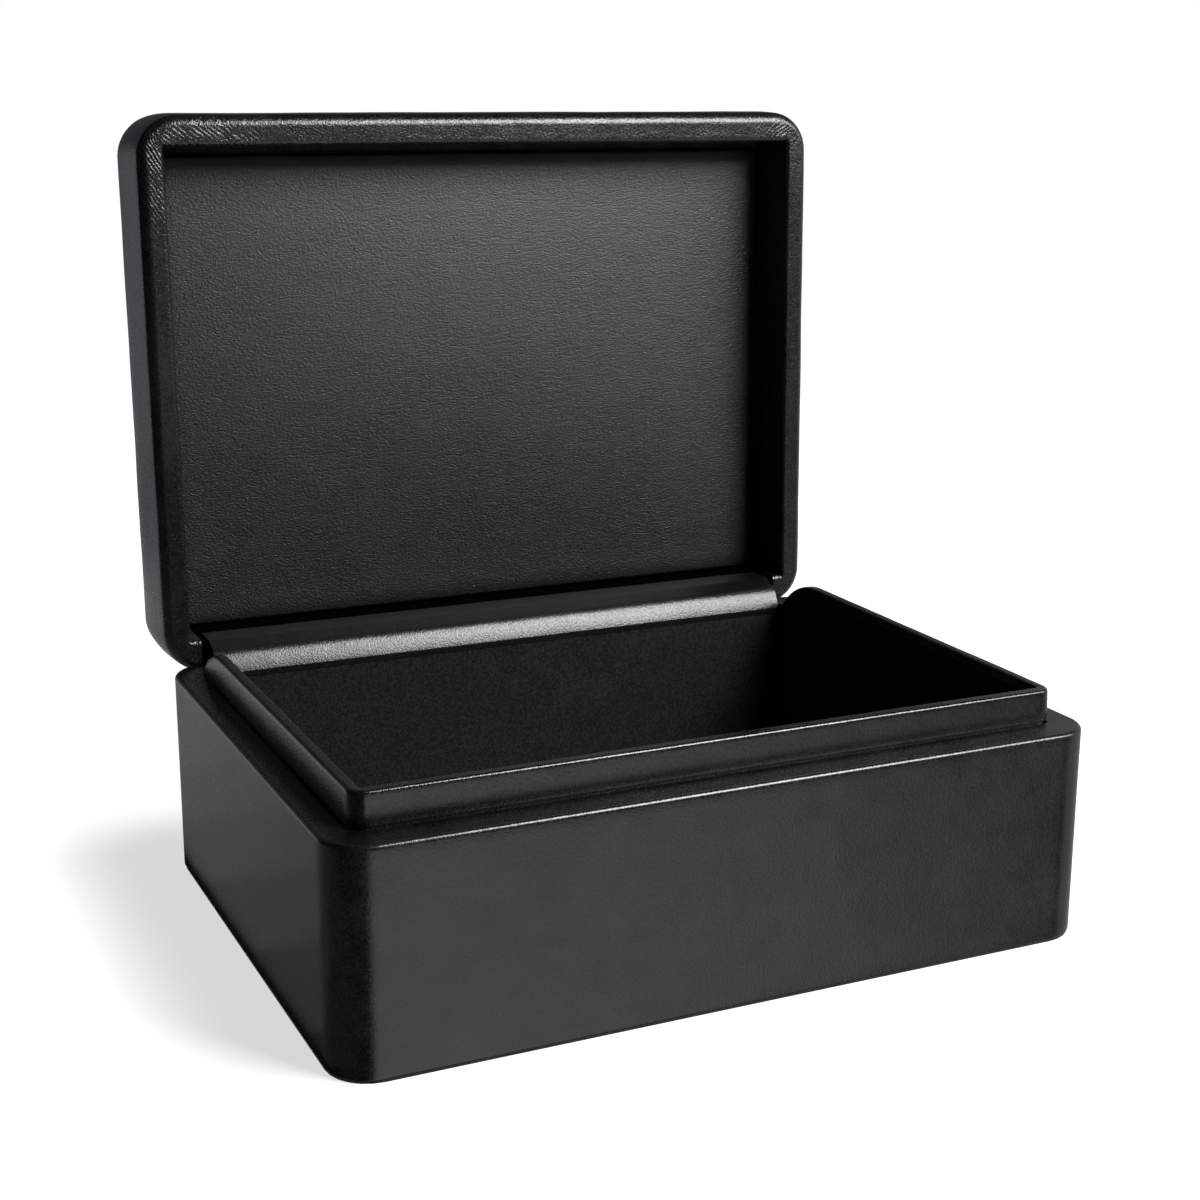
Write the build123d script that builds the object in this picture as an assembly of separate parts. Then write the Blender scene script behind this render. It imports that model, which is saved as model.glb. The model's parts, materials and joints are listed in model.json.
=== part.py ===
from build123d import *
import os
from math import cos, radians, sin, sqrt

# Leather covered jewelry box with a raised collar and a hinged lid, shown with the lid open.
# Millimetres. Origin at the centre of the underside, +X right, front towards -Y, +Z up.
# The lid is drawn closed on the base and then turned open about the hinge line.

# Overall sizes
box_width = 254.0
box_depth = 190.0
corner_radius = 14.0
ledge_height = 70.6
lid_height = 35.5
open_angle = 91.5

# Leather, lining and card
leather = 1.2
skin = 1.0
lining = 1.0
infill_gap = 0.3
turn_under = 12.0

# Carcass boards of the base
side_board = 8.0
front_board = 10.3
rear_board = 9.3
floor_board = 6.0
wrap_top_radius = 1.5
wrap_foot_radius = 0.6

# Pad under the box
bottom_pad = 1.0
bottom_pad_inset = 0.4

# Collar that stands above the ledge at the front and sides
collar_rise = 11.3
collar_board = 2.4
collar_corner_radius = 5.5
collar_top_radius = 0.9
collar_end_radius = 30.0
collar_end_gap = 0.5
collar_inner_radius = 1.5
collar_tail = 20.0
collar_turn_in = 8.0

# Soft pad on the inside floor
pad_board = 2.0
pad_foam = 3.0
pad_cover = 1.0
pad_gap = 0.3
pad_edge_radius = 0.8

# Frame, rim and recess of the lid
lid_side_rail = 6.5
lid_front_rail = 8.3
lid_rear_rail = 9.3
lid_top_board = 6.0
lid_recess = 21.4
lid_lining_board = 2.0
lid_lining_side_gap = 1.0
lid_lining_end_gap = 2.8
lid_lining_corner_radius = 2.0
lid_lining_edge_radius = 1.8
rim_padding = 1.5
rim_edge_radius = 1.8
lid_top_radius = 4.0
lid_inner_radius = 1.0

# Leather hinge along the rear edge, which stops the lid on two bevels
hinge_setback = 2.7
hinge_end_margin = 15.0
hinge_end_gap = 0.15
hinge_sink = 0.15
hinge_flap = 2.5
hinge_bead_radius = 1.1
hinge_bead_gap = 0.15
hinge_edge_radius = 0.8
closing_gap = 0.2
stop_gap = 0.1

# Heights in the base, from the underside up
wrap_bottom = bottom_pad
board_bottom = wrap_bottom + leather
board_top = ledge_height - leather
floor_top = board_bottom + floor_board
pad_top = floor_top + pad_board + pad_foam + pad_cover
collar_top = ledge_height + collar_rise

# Outer faces, board faces and inner faces, measured from the centre
outer_x = box_width / 2
outer_y = box_depth / 2
board_x = outer_x - leather - side_board
front_board_y = -outer_y + leather + front_board
rear_board_y = outer_y - leather - rear_board
collar_x = board_x - skin
inner_x = collar_x - collar_board - lining
collar_front_y = front_board_y + skin
inner_front_y = collar_front_y + collar_board + lining
inner_rear_y = rear_board_y - lining
collar_end_y = inner_rear_y - collar_end_gap

# Hinge line, and the lid's levels when it is closed
hinge_y = outer_y - hinge_setback
hinge_z = ledge_height + closing_gap / 2
hinge_x = outer_x - hinge_end_margin
leaf = leather - hinge_sink
lid_bottom = ledge_height + closing_gap
rail_bottom = lid_bottom + leather
lid_lining_z = lid_bottom + lid_recess
lid_panel_z = lid_lining_z + skin + lid_lining_board
lid_panel_top = lid_panel_z + lid_top_board
lid_top = lid_bottom + lid_height
lid_core_top = lid_top - leather
rail_x = outer_x - leather - lid_side_rail
rail_front_y = -outer_y + leather + lid_front_rail
rail_rear_y = outer_y - leather - lid_rear_rail
recess_x = rail_x - skin
recess_front_y = rail_front_y + skin
recess_rear_y = rail_rear_y - skin
bevel_angle = open_angle / 2
far = 2 * (box_width + box_depth)

hinge_axis = Axis((0, hinge_y, hinge_z), (1, 0, 0))


def block(x_range, y_range, z_range):
    """Plain block between two faces along each axis."""
    ranges = (x_range, y_range, z_range)
    sizes = [high - low for low, high in ranges]
    centre = [(high + low) / 2 for low, high in ranges]
    return Pos(*centre) * Box(*sizes)


def rounded_block(inset, z_range):
    """Block with the box's own rounded outline, drawn in by an inset."""
    outline = RectangleRounded(box_width - 2 * inset, box_depth - 2 * inset, corner_radius - inset)
    return Pos(0, 0, z_range[0]) * extrude(outline, amount=z_range[1] - z_range[0])


def front_rounded_block(half_width, y_range, radius, z_range):
    """Block whose two front upright edges are rounded."""
    body = block((-half_width, half_width), y_range, z_range)
    uprights = body.edges().filter_by(Axis.Z).group_by(Axis.Y)[0]
    return fillet(uprights, radius)


def prism_across(outline, half_width):
    """Solid with a (y, z) outline, running across the box."""
    return extrude(Plane.YZ * make_face(outline), amount=half_width, both=True)


def hinge_rod(radius, half_width):
    """Round rod along the hinge line."""
    return Pos(0, hinge_y, hinge_z) * (Rot(0, 90, 0) * Cylinder(radius, 2 * half_width))


def bevelled(body, depth, upward):
    """Cuts the stop bevel, whose plane lies a depth inside the hinge line, from a rear edge."""
    tilt = radians(bevel_angle)
    direction = (0, sin(tilt), cos(tilt) * upward)
    corner = (0, hinge_y - depth * direction[1], hinge_z - depth * direction[2])
    return split(body, bisect_by=Plane(origin=corner, z_dir=direction), keep=Keep.BOTTOM)


def lower_edges(body):
    """Edges in the lowest plane of a body."""
    return body.edges().group_by(Axis.Z)[0]


def upper_edges(body):
    """Edges in the highest plane of a body."""
    return body.edges().group_by(Axis.Z)[-1]


# Base: carcass boards and what covers them


def base_core():
    """Carcass outline that the four walls and the floor are cut from."""
    return bevelled(rounded_block(leather, (board_bottom, board_top)), leather + stop_gap, 1)


def base_boards():
    """Four walls and the floor of the base."""
    core = base_core()
    between = (front_board_y, rear_board_y)
    tall = (board_bottom, board_top)
    return {
        "base_front_board": core & block((-far, far), (-far, front_board_y), tall),
        "base_rear_board": core & block((-far, far), (rear_board_y, far), tall),
        "base_left_board": core & block((-far, -board_x), between, tall),
        "base_right_board": core & block((board_x, far), between, tall),
        "base_floor_board": block((-board_x, board_x), between, (board_bottom, floor_top)),
    }


def hinge_seat(z_range):
    """Room in the leather for the hinge strip, in front of the fold."""
    half = hinge_x + hinge_end_gap
    return block((-half, half), (inner_rear_y - lining, hinge_y), z_range)


def base_leather_wrap():
    """Leather round the walls, over the ledge and under the bottom edge."""
    body = rounded_block(0, (wrap_bottom, ledge_height))
    body = fillet(upper_edges(body), wrap_top_radius)
    body = fillet(lower_edges(body), wrap_foot_radius)
    body = bevelled(body, stop_gap, 1) - base_core()
    body -= front_rounded_block(
        board_x, (front_board_y, rear_board_y), collar_corner_radius, (board_bottom, ledge_height + leather)
    )
    body -= hinge_seat((board_top, ledge_height + leather))
    body -= hinge_rod(hinge_bead_radius + hinge_bead_gap, hinge_x + hinge_end_gap)
    body -= underside_opening(0)
    return body


def underside_opening(inset):
    """Space inside the leather that is turned under the bottom edge."""
    return rounded_block(turn_under + inset, (wrap_bottom, board_bottom))


def base_bottom_pad():
    """Felt pad that the box stands on."""
    return rounded_block(bottom_pad_inset, (0, bottom_pad))


# Collar, lining and floor pad inside the base


def end_profile(inset, bottom):
    """Side view of a collar arm, whose rear end falls in an arc from the top to the ledge."""
    centre_z = collar_top - collar_end_radius
    centre_y = collar_end_y - sqrt(collar_end_radius**2 - (ledge_height - centre_z) ** 2)
    radius = collar_end_radius - inset
    front = -outer_y
    end = collar_end_y - inset
    top = collar_top - inset
    arc_foot = centre_z + sqrt(radius**2 - (end - centre_y) ** 2)
    return prism_across(
        Polyline((end, arc_foot), (end, bottom), (front, bottom), (front, top), (centre_y, top))
        + RadiusArc((centre_y, top), (end, arc_foot), radius),
        outer_x,
    )


def collar_body(inset, bottom):
    """Outside of the collar, drawn in by an inset, before its inside is cut away."""
    body = front_rounded_block(
        board_x - inset,
        (front_board_y + inset, collar_end_y - inset),
        collar_corner_radius - inset,
        (bottom, collar_top - inset),
    )
    return body & end_profile(inset, bottom)


def collar_boards():
    """Front and side boards of the collar, which stand on the floor board."""
    body = collar_body(skin, floor_top)
    front_y = inner_front_y - lining
    arm_x = inner_x + lining
    tall = (floor_top, collar_top)
    return {
        "collar_front_board": body & block((-far, far), (-far, front_y), tall),
        "collar_left_board": body & block((-far, -arm_x), (front_y, far), tall),
        "collar_right_board": body & block((arm_x, far), (front_y, far), tall),
    }


def collar_leather(boards):
    """Leather over the collar's outside and top, turned a little way inside."""
    bottom = ledge_height - collar_tail
    turn_in_z = collar_top - collar_turn_in
    body = collar_body(0, bottom)
    body -= front_rounded_block(inner_x, (inner_front_y, far), collar_inner_radius, (bottom, far))
    body = fillet(upper_edges(body), collar_top_radius)
    lined_x = inner_x + lining
    body -= block((-lined_x, lined_x), (inner_front_y - lining, far), (bottom, turn_in_z))
    for board in boards.values():
        body -= board
    return body


def wall_linings():
    """Suede covered cards on the four inner walls."""
    turn_in_z = collar_top - collar_turn_in
    flap_z = board_top - hinge_flap
    between = (inner_front_y, inner_rear_y - collar_end_gap)
    side = (floor_top, turn_in_z)
    lined_x = inner_x + lining
    front = block((-lined_x, lined_x), (inner_front_y - lining, inner_front_y), side)
    left = block((-lined_x, -inner_x), between, side) & end_profile(skin, floor_top)
    right = block((inner_x, lined_x), between, side) & end_profile(skin, floor_top)
    rear = block((-board_x, board_x), (inner_rear_y, rear_board_y), (floor_top, flap_z))
    return {"lining_front": front, "lining_left": left, "lining_right": right, "lining_rear": rear}


def floor_pad():
    """Card, foam and suede of the pad on the inside floor."""
    half = inner_x - pad_gap
    deep = (inner_front_y + pad_gap, inner_rear_y - pad_gap)
    foam_z = floor_top + pad_board
    cover_z = foam_z + pad_foam
    cover = block((-half, half), deep, (cover_z, pad_top))
    return {
        "floor_pad_board": block((-half, half), deep, (floor_top, foam_z)),
        "floor_pad_foam": block((-half, half), deep, (foam_z, cover_z)),
        "floor_pad_cover": fillet(upper_edges(cover), pad_edge_radius),
    }


# Lid, drawn closed


def lid_core():
    """Lid outline under its leather, that the rails, panel and padding are cut from."""
    body = rounded_block(leather, (rail_bottom, lid_core_top))
    body = fillet(upper_edges(body), lid_top_radius - leather)
    return bevelled(body, leather + stop_gap, -1)


def lid_frame():
    """Rails, panel and padding of the lid."""
    core = lid_core()
    between = (rail_front_y, rail_rear_y)
    padded = (rail_bottom + rim_padding, lid_panel_z)
    rim = (rail_bottom, rail_bottom + rim_padding)
    rim_band = core & block((-far, far), (-far, rail_rear_y), rim)
    return {
        "lid_front_rail": core & block((-far, far), (-far, rail_front_y), padded),
        "lid_rear_rail": core & block((-far, far), (rail_rear_y, far), (rail_bottom, lid_panel_z)),
        "lid_left_rail": core & block((-far, -rail_x), between, padded),
        "lid_right_rail": core & block((rail_x, far), between, padded),
        "lid_top_board": core & block((-far, far), (-far, far), (lid_panel_z, lid_panel_top)),
        "lid_top_padding": core & block((-far, far), (-far, far), (lid_panel_top, lid_core_top)),
        "lid_rim_padding": rim_band - block((-rail_x, rail_x), between, rim),
    }


def recess_block(side_inset, end_inset, radius, z_range):
    """Block with rounded upright edges, set in from the walls of the lid's hollow."""
    deep = (recess_front_y + end_inset, recess_rear_y - end_inset)
    half = recess_x - side_inset
    body = block((-half, half), deep, z_range)
    return fillet(body.edges().filter_by(Axis.Z), radius)


def lid_leather_cover():
    """Leather over the top, sides and rim of the lid, turned in down the walls of its hollow."""
    body = rounded_block(0, (lid_bottom, lid_top))
    body = fillet(upper_edges(body), lid_top_radius)
    body -= recess_block(0, 0, lid_inner_radius, (lid_bottom, lid_panel_z))
    body = fillet(lower_edges(body), rim_edge_radius)
    body = bevelled(body, stop_gap, -1)
    hollow = block((-rail_x, rail_x), (rail_front_y, rail_rear_y), (rail_bottom, lid_panel_z))
    body -= lid_core() - hollow
    body -= hinge_seat((lid_bottom - leather, rail_bottom))
    flap_x = hinge_x + hinge_end_gap
    body -= block((-flap_x, flap_x), (recess_rear_y - skin, rail_rear_y), (lid_bottom, lid_panel_z))
    body -= hinge_rod(hinge_bead_radius + 2 * hinge_bead_gap, flap_x)
    return body


def lining_panel(inset):
    """Panel inside the lid with rounded edges, drawn in by an inset."""
    body = recess_block(
        lid_lining_side_gap + inset,
        lid_lining_end_gap + inset,
        lid_lining_corner_radius - inset,
        (lid_lining_z + inset, lid_panel_z),
    )
    return fillet(lower_edges(body), lid_lining_edge_radius - inset)


def lid_lining():
    """Card inside the lid, with leather over its face and edges."""
    board = lining_panel(skin)
    return {"lid_lining_leather": lining_panel(0) - board, "lid_lining_board": board}


# Hinge strip, in two leaves divided at its fold


def hinge_leather_lower():
    """Lower leaf: down the inside of the rear wall, over its top, and the round fold."""
    top = board_top + leaf
    across = (-hinge_x, hinge_x)
    body = block(across, (inner_rear_y, hinge_y), (board_top, top))
    body += block(across, (inner_rear_y, rear_board_y), (board_top - hinge_flap, board_top))
    edge = body.edges().filter_by(Axis.X).group_by(Axis.Z)[-1].sort_by(Axis.Y)[0]
    body = fillet(edge, hinge_edge_radius)
    return body + hinge_rod(hinge_bead_radius, hinge_x)


def hinge_leather_upper():
    """Upper leaf: along the rear rim and up the rear wall of the lid's hollow."""
    low = rail_bottom - leaf
    across = (-hinge_x, hinge_x)
    body = block(across, (recess_rear_y, hinge_y), (low, rail_bottom))
    body += block(across, (recess_rear_y, rail_rear_y), (rail_bottom, lid_panel_z))
    edge = body.edges().filter_by(Axis.X).group_by(Axis.Z)[0].sort_by(Axis.Y)[0]
    body = fillet(edge, hinge_edge_radius)
    return body - hinge_rod(hinge_bead_radius + hinge_bead_gap, outer_x)


def base_nodes():
    """Every piece that stays with the base."""
    collar = collar_boards()
    return {
        **base_boards(),
        "base_leather_wrap": base_leather_wrap(),
        "base_infill_card": underside_opening(infill_gap),
        "base_bottom_pad": base_bottom_pad(),
        **collar,
        "collar_leather": collar_leather(collar),
        **wall_linings(),
        **floor_pad(),
        "hinge_leather_lower": hinge_leather_lower(),
    }


def lid_nodes():
    """Every piece that swings with the lid, turned open about the hinge line."""
    closed = {
        **lid_frame(),
        "lid_leather_cover": lid_leather_cover(),
        **lid_lining(),
        "hinge_leather_upper": hinge_leather_upper(),
    }
    return {name: body.rotate(hinge_axis, -open_angle) for name, body in closed.items()}


os.makedirs("parts", exist_ok=True)
for name, body in {**base_nodes(), **lid_nodes()}.items():
    export_step(body, f"parts/{name}.step")
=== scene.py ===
import json
import math
from types import SimpleNamespace

import bmesh
import bpy
from mathutils import Matrix, Vector


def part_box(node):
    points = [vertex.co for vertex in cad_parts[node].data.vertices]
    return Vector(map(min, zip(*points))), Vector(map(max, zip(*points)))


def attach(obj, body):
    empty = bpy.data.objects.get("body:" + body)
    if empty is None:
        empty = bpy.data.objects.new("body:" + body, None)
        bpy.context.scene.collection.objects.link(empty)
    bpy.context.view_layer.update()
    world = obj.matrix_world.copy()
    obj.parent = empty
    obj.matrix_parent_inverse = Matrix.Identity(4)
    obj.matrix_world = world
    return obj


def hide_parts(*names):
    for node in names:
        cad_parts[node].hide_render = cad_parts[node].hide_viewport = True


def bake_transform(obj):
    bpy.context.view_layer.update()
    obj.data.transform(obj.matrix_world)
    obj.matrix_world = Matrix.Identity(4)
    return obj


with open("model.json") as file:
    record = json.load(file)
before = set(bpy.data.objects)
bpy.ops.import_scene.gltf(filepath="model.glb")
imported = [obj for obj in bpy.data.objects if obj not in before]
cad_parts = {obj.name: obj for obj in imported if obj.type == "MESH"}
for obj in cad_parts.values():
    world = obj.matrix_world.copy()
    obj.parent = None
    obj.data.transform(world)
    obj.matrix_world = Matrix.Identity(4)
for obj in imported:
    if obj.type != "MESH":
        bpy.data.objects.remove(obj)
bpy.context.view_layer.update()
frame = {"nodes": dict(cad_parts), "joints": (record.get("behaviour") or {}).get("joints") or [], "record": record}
scene = bpy.context.scene
mm = 0.001
noise_mean = 0.5

# Places read from the frame: the lid is drawn shut and then swung open about the hinge line
joint = frame["joints"][0]
hinge = Vector(joint["pos_m"])
open_angle = math.radians(joint["range_deg"][1])
swing_shut = Matrix.Translation(hinge) @ Matrix.Rotation(open_angle, 4, "X") @ Matrix.Translation(-hinge)
swing_open = swing_shut.inverted()


def rest_box(node):
    """Lowest and highest corner of a node as it stands at rest."""
    low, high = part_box(node)
    return Vector(low), Vector(high)


def shut_box(node):
    """Lowest and highest corner of a node of the lid when the lid is shut."""
    places = [swing_shut @ vertex.co for vertex in frame["nodes"][node].data.vertices]
    low = Vector(min(place[axis] for place in places) for axis in range(3))
    high = Vector(max(place[axis] for place in places) for axis in range(3))
    return low, high


wrap_low, wrap_high = rest_box("base_leather_wrap")
half_width, half_depth, ledge_top = wrap_high
collar_low, collar_high = rest_box("collar_leather")
lid_low, lid_high = shut_box("lid_leather_cover")
lining_low, lining_high = shut_box("lid_lining_leather")
_, side_rail_high = shut_box("lid_left_rail")
_, front_rail_high = shut_box("lid_front_rail")
rear_rail_low, _ = shut_box("lid_rear_rail")
strip_low, strip_high = rest_box("hinge_leather_lower")
strip_half = strip_high.x

# Leather sizes
corner_radius = 14 * mm
leather = 1.2 * mm
thin_leather = 1.0 * mm
turn_under = 12 * mm
wrap_top_radius = 1.5 * mm
wrap_foot_radius = 0.6 * mm
lid_top_radius = 4 * mm
rim_outer_radius = 3.4 * mm
rim_inner_radius = 1.7 * mm
rim_crown = 0.12 * mm
rim_stub_half = 114.6 * mm
bevel_slope = math.tan(open_angle / 2)
fold_gap = 0.15 * mm
hidden_drop = 1.6 * leather
inner_face = 0.99 * leather
recess_half = -side_rail_high.x - thin_leather
recess_front = front_rail_high.y + thin_leather
recess_rear = rear_rail_low.y - thin_leather
collar_end_radius = 30 * mm
collar_turn_in = 3 * mm
collar_end_rise = ledge_top - (collar_high.z - collar_end_radius)
collar_end_start = collar_high.y - math.sqrt(collar_end_radius ** 2 - collar_end_rise ** 2)


class Link:
    """One output socket of a node; sums and products of such sockets add maths nodes."""

    def __init__(self, graph, socket):
        self.graph = graph
        self.socket = socket

    def out(self, name):
        return Link(self.graph, self.socket.node.outputs[name])

    def __add__(self, other):
        return self.graph.maths("ADD", self, other)

    def __radd__(self, other):
        return self.graph.maths("ADD", other, self)

    def __sub__(self, other):
        return self.graph.maths("SUBTRACT", self, other)

    def __rsub__(self, other):
        return self.graph.maths("SUBTRACT", other, self)

    def __mul__(self, other):
        return self.graph.maths("MULTIPLY", self, other)

    def __rmul__(self, other):
        return self.graph.maths("MULTIPLY", other, self)

    def __truediv__(self, other):
        return self.graph.maths("DIVIDE", self, other)

    def __rtruediv__(self, other):
        return self.graph.maths("DIVIDE", other, self)

    def __pow__(self, other):
        return self.graph.maths("POWER", self, other)

    def __rpow__(self, other):
        return self.graph.maths("POWER", other, self)

    def __lt__(self, other):
        return self.graph.maths("LESS_THAN", self, other)

    def __gt__(self, other):
        return self.graph.maths("GREATER_THAN", self, other)

    def __abs__(self):
        return self.graph.maths("ABSOLUTE", self)

    def xyz(self):
        parts = self.graph.add("ShaderNodeSeparateXYZ", {}, {0: self})
        return parts, parts.out("Y"), parts.out("Z")


def is_vector(term):
    if isinstance(term, Link):
        return term.socket.type in ("VECTOR", "RGBA")
    return isinstance(term, (tuple, Vector))


class Graph:
    """Adds nodes to one tree, for a shape or for a finish."""

    def __init__(self, tree):
        self.tree = tree

    def add(self, kind, settings=None, inputs=None, output=0):
        """A node of the given kind: its settings first, then the values or links of its sockets."""
        node = self.tree.nodes.new(kind)
        for key, value in (settings or {}).items():
            setattr(node, key, value)
        for key, value in (inputs or {}).items():
            if isinstance(value, Link):
                self.tree.links.new(value.socket, node.inputs[key])
            else:
                node.inputs[key].default_value = value
        return Link(self, node.outputs[output]) if node.outputs else node

    def maths(self, operation, *terms):
        """Maths on numbers, or Vector Math where a term is a vector or a colour."""
        vectors = [is_vector(term) for term in terms]
        if not any(vectors):
            return self.add("ShaderNodeMath", {"operation": operation}, dict(enumerate(terms)))
        if operation == "MULTIPLY" and not all(vectors):
            vector, factor = terms if vectors[0] else terms[::-1]
            return self.add("ShaderNodeVectorMath", {"operation": "SCALE"}, {0: vector, 3: factor})
        return self.add("ShaderNodeVectorMath", {"operation": operation}, dict(enumerate(terms)))

    def least(self, one, other):
        return self.maths("MINIMUM", one, other)

    def most(self, one, other):
        return self.maths("MAXIMUM", one, other)

    def between(self, value, low, high):
        return self.most(self.least(value, high), low)

    def ease(self, value, start, end):
        """0 before start, 1 after end, with a smooth step between them."""
        steps = {0: value, 1: start, 2: end, 3: 0.0, 4: 1.0}
        return self.add("ShaderNodeMapRange", {"interpolation_type": "SMOOTHSTEP"}, steps)

    def noise(self, place, size, detail=2.0, roughness=0.5):
        """Soft noise about noise_mean, with lumps of about the given size."""
        inputs = {"Vector": place, "Scale": 1 / size, "Detail": detail, "Roughness": roughness}
        return self.add("ShaderNodeTexNoise", {}, inputs)

    def vector(self, x, y, z):
        return self.add("ShaderNodeCombineXYZ", {}, {0: x, 1: y, 2: z})


# Outlines and sections: plain lists of points with lines and arcs
def line(start, end, step):
    """Points from start towards end, about a step apart, without the end itself."""
    start, end = Vector(start), Vector(end)
    count = max(1, round((end - start).length / step))
    return [start.lerp(end, index / count) for index in range(count)]


def heading(angle):
    """The direction at an angle in degrees."""
    return Vector((math.cos(math.radians(angle)), math.sin(math.radians(angle))))


def arc(centre, radius, start, end, count):
    """Points on an arc from one angle to another, in degrees, without the last one."""
    angles = [math.radians(start + (end - start) * index / count) for index in range(count)]
    return [Vector((centre[0] + radius * math.cos(a), centre[1] + radius * math.sin(a))) for a in angles]


def rounded_outline(half_x, half_y, radius, corner_step, side_step, fine_reach=(0, 0, 0, 0)):
    """A closed outline, clockwise from above, with fine steps round each corner and for a reach past it."""
    points = []
    count = max(4, round(radius * math.pi / 2 / corner_step))
    corners = ((1, 1, 0), (-1, 1, 90), (-1, -1, 180), (1, -1, 270))
    for index, (sign_x, sign_y, angle) in enumerate(corners):
        centre = Vector((sign_x * (half_x - radius), sign_y * (half_y - radius)))
        points += arc(centre, radius, angle, angle + 90, count)
        along = heading(angle + 180)
        start = centre + radius * heading(angle + 90)
        length = 2 * ((half_x if index % 2 == 0 else half_y) - radius)
        stops = [0.0, fine_reach[index], length - fine_reach[(index + 1) % 4], length]
        for begin, finish, step in zip(stops, stops[1:], (corner_step, side_step, corner_step)):
            if finish > begin:
                points += line(start + along * begin, start + along * finish, step)
    return points[::-1]


def poly_curve(name, points, closed):
    """A curve object of straight runs through points in the XY plane."""
    curve = bpy.data.curves.new(name, "CURVE")
    curve.dimensions = "3D"
    spline = curve.splines.new("POLY")
    spline.points.add(len(points) - 1)
    for target, point in zip(spline.points, points):
        target.co = (point[0], point[1], 0.0, 1.0)
    spline.use_cyclic_u = closed
    holder = bpy.data.objects.new(name, curve)
    scene.collection.objects.link(holder)
    return holder


def swept_skin(name, section, path, finish, shape, sizes, closed_section=True, closed_path=True, push=None):
    """A mesh made by Geometry Nodes: the section follows the path, and shape() places its points.

    A section point is (inset from the path, height). sizes become the tree's named inputs.
    push() gives how far each point moves out along the surface, for folds and swells.
    """
    tree = bpy.data.node_groups.new(name, "GeometryNodeTree")
    tree.interface.new_socket("Geometry", in_out="OUTPUT", socket_type="NodeSocketGeometry")
    graph = Graph(tree)
    section_curve = poly_curve(name + "_section", section, closed_section)
    path_curve = poly_curve(name + "_path", path, closed_path)
    given = {"Section": section_curve, "Path": path_curve, "Finish": finish, **sizes}
    kinds = {"Section": "NodeSocketObject", "Path": "NodeSocketObject", "Finish": "NodeSocketMaterial"}
    keys = {}
    for label in given:
        kind = kinds.get(label, "NodeSocketFloat")
        keys[label] = tree.interface.new_socket(label, in_out="INPUT", socket_type=kind).identifier
    group = graph.add("NodeGroupInput")
    weld = 0.005 * mm

    def keep(geometry, label, value, kind):
        inputs = {"Geometry": geometry, "Name": label, "Value": value}
        return graph.add("GeometryNodeStoreNamedAttribute", {"data_type": kind}, inputs)

    def kept(label, kind):
        return graph.add("GeometryNodeInputNamedAttribute", {"data_type": kind}, {"Name": label})

    place = graph.add("GeometryNodeInputPosition")
    normal = graph.add("GeometryNodeInputNormal")
    length = graph.add("GeometryNodeSplineParameter").out("Length")
    route = graph.add("GeometryNodeObjectInfo", {}, {"Object": group.out("Path")}, "Geometry")
    route = graph.add("GeometryNodeSetCurveNormal", {"mode": "Z_UP"}, {"Curve": route})
    route = keep(route, "spot", place, "FLOAT_VECTOR")
    route = keep(route, "inward", normal, "FLOAT_VECTOR")
    route = keep(route, "run", length, "FLOAT")
    profile = graph.add("GeometryNodeObjectInfo", {}, {"Object": group.out("Section")}, "Geometry")
    profile = keep(profile, "profile", place, "FLOAT_VECTOR")
    inputs = {"Curve": route, "Profile Curve": profile, "Fill Caps": True}
    mesh = graph.add("GeometryNodeCurveToMesh", {}, inputs)

    inset, height, _ = kept("profile", "FLOAT_VECTOR").xyz()
    skin = SimpleNamespace(
        graph=graph,
        size={label: group.out(label) for label in sizes},
        inset=inset,
        height=height,
        run=kept("run", "FLOAT"),
        spot=kept("spot", "FLOAT_VECTOR"),
        inward=kept("inward", "FLOAT_VECTOR"),
        place=place,
    )
    mesh = graph.add("GeometryNodeSetPosition", {}, {"Geometry": mesh, "Position": shape(skin)})
    mesh = graph.add("GeometryNodeMergeByDistance", {}, {"Geometry": mesh, "Distance": weld})
    if push:
        offset = normal * push(skin)
        mesh = graph.add("GeometryNodeSetPosition", {}, {"Geometry": mesh, "Offset": offset})
    mesh = graph.add("GeometryNodeSetShadeSmooth", {}, {"Geometry": mesh})
    mesh = graph.add("GeometryNodeRealizeInstances", {}, {"Geometry": mesh})
    mesh = graph.add("GeometryNodeSetMaterial", {}, {"Geometry": mesh, "Material": group.out("Finish")})
    graph.add("NodeGroupOutput", {}, {"Geometry": mesh})

    piece = bpy.data.objects.new(name, bpy.data.meshes.new(name))
    scene.collection.objects.link(piece)
    modifier = piece.modifiers.new("skin", "NODES")
    modifier.node_group = tree
    for label, value in given.items():
        modifier[keys[label]] = value
    bake(piece)
    for helper in (section_curve, path_curve):
        bpy.data.curves.remove(helper.data)
    bpy.data.node_groups.remove(tree)
    return piece


def bake(piece):
    """Turns the piece's evaluated shape into its own plain mesh."""
    sharp_edge = math.radians(50)
    bpy.context.view_layer.update()
    depsgraph = bpy.context.evaluated_depsgraph_get()
    shaped = piece.evaluated_get(depsgraph)
    mesh = bpy.data.meshes.new_from_object(shaped, preserve_all_data_layers=True, depsgraph=depsgraph)
    piece.modifiers.clear()
    piece.data = mesh
    mesh.name = piece.name
    for label in ("spot", "inward", "run", "profile"):
        if label in mesh.attributes:
            mesh.attributes.remove(mesh.attributes[label])
    work = bmesh.new()
    work.from_mesh(mesh)
    bmesh.ops.recalc_face_normals(work, faces=work.faces)
    work.to_mesh(mesh)
    work.free()
    mesh.set_sharp_from_angle(angle=sharp_edge)


def finished(piece, body, slot, *nodes):
    """Hands a piece to its body and hides the nodes that it stands for."""
    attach(piece, body)
    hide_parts(*nodes)


# Finishes
def new_finish(name):
    material = bpy.data.materials.new(name)
    material.use_nodes = True
    material.node_tree.nodes.clear()
    graph = Graph(material.node_tree)
    place = graph.add("ShaderNodeTexCoord", output="Object")
    return material, graph, place


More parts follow.
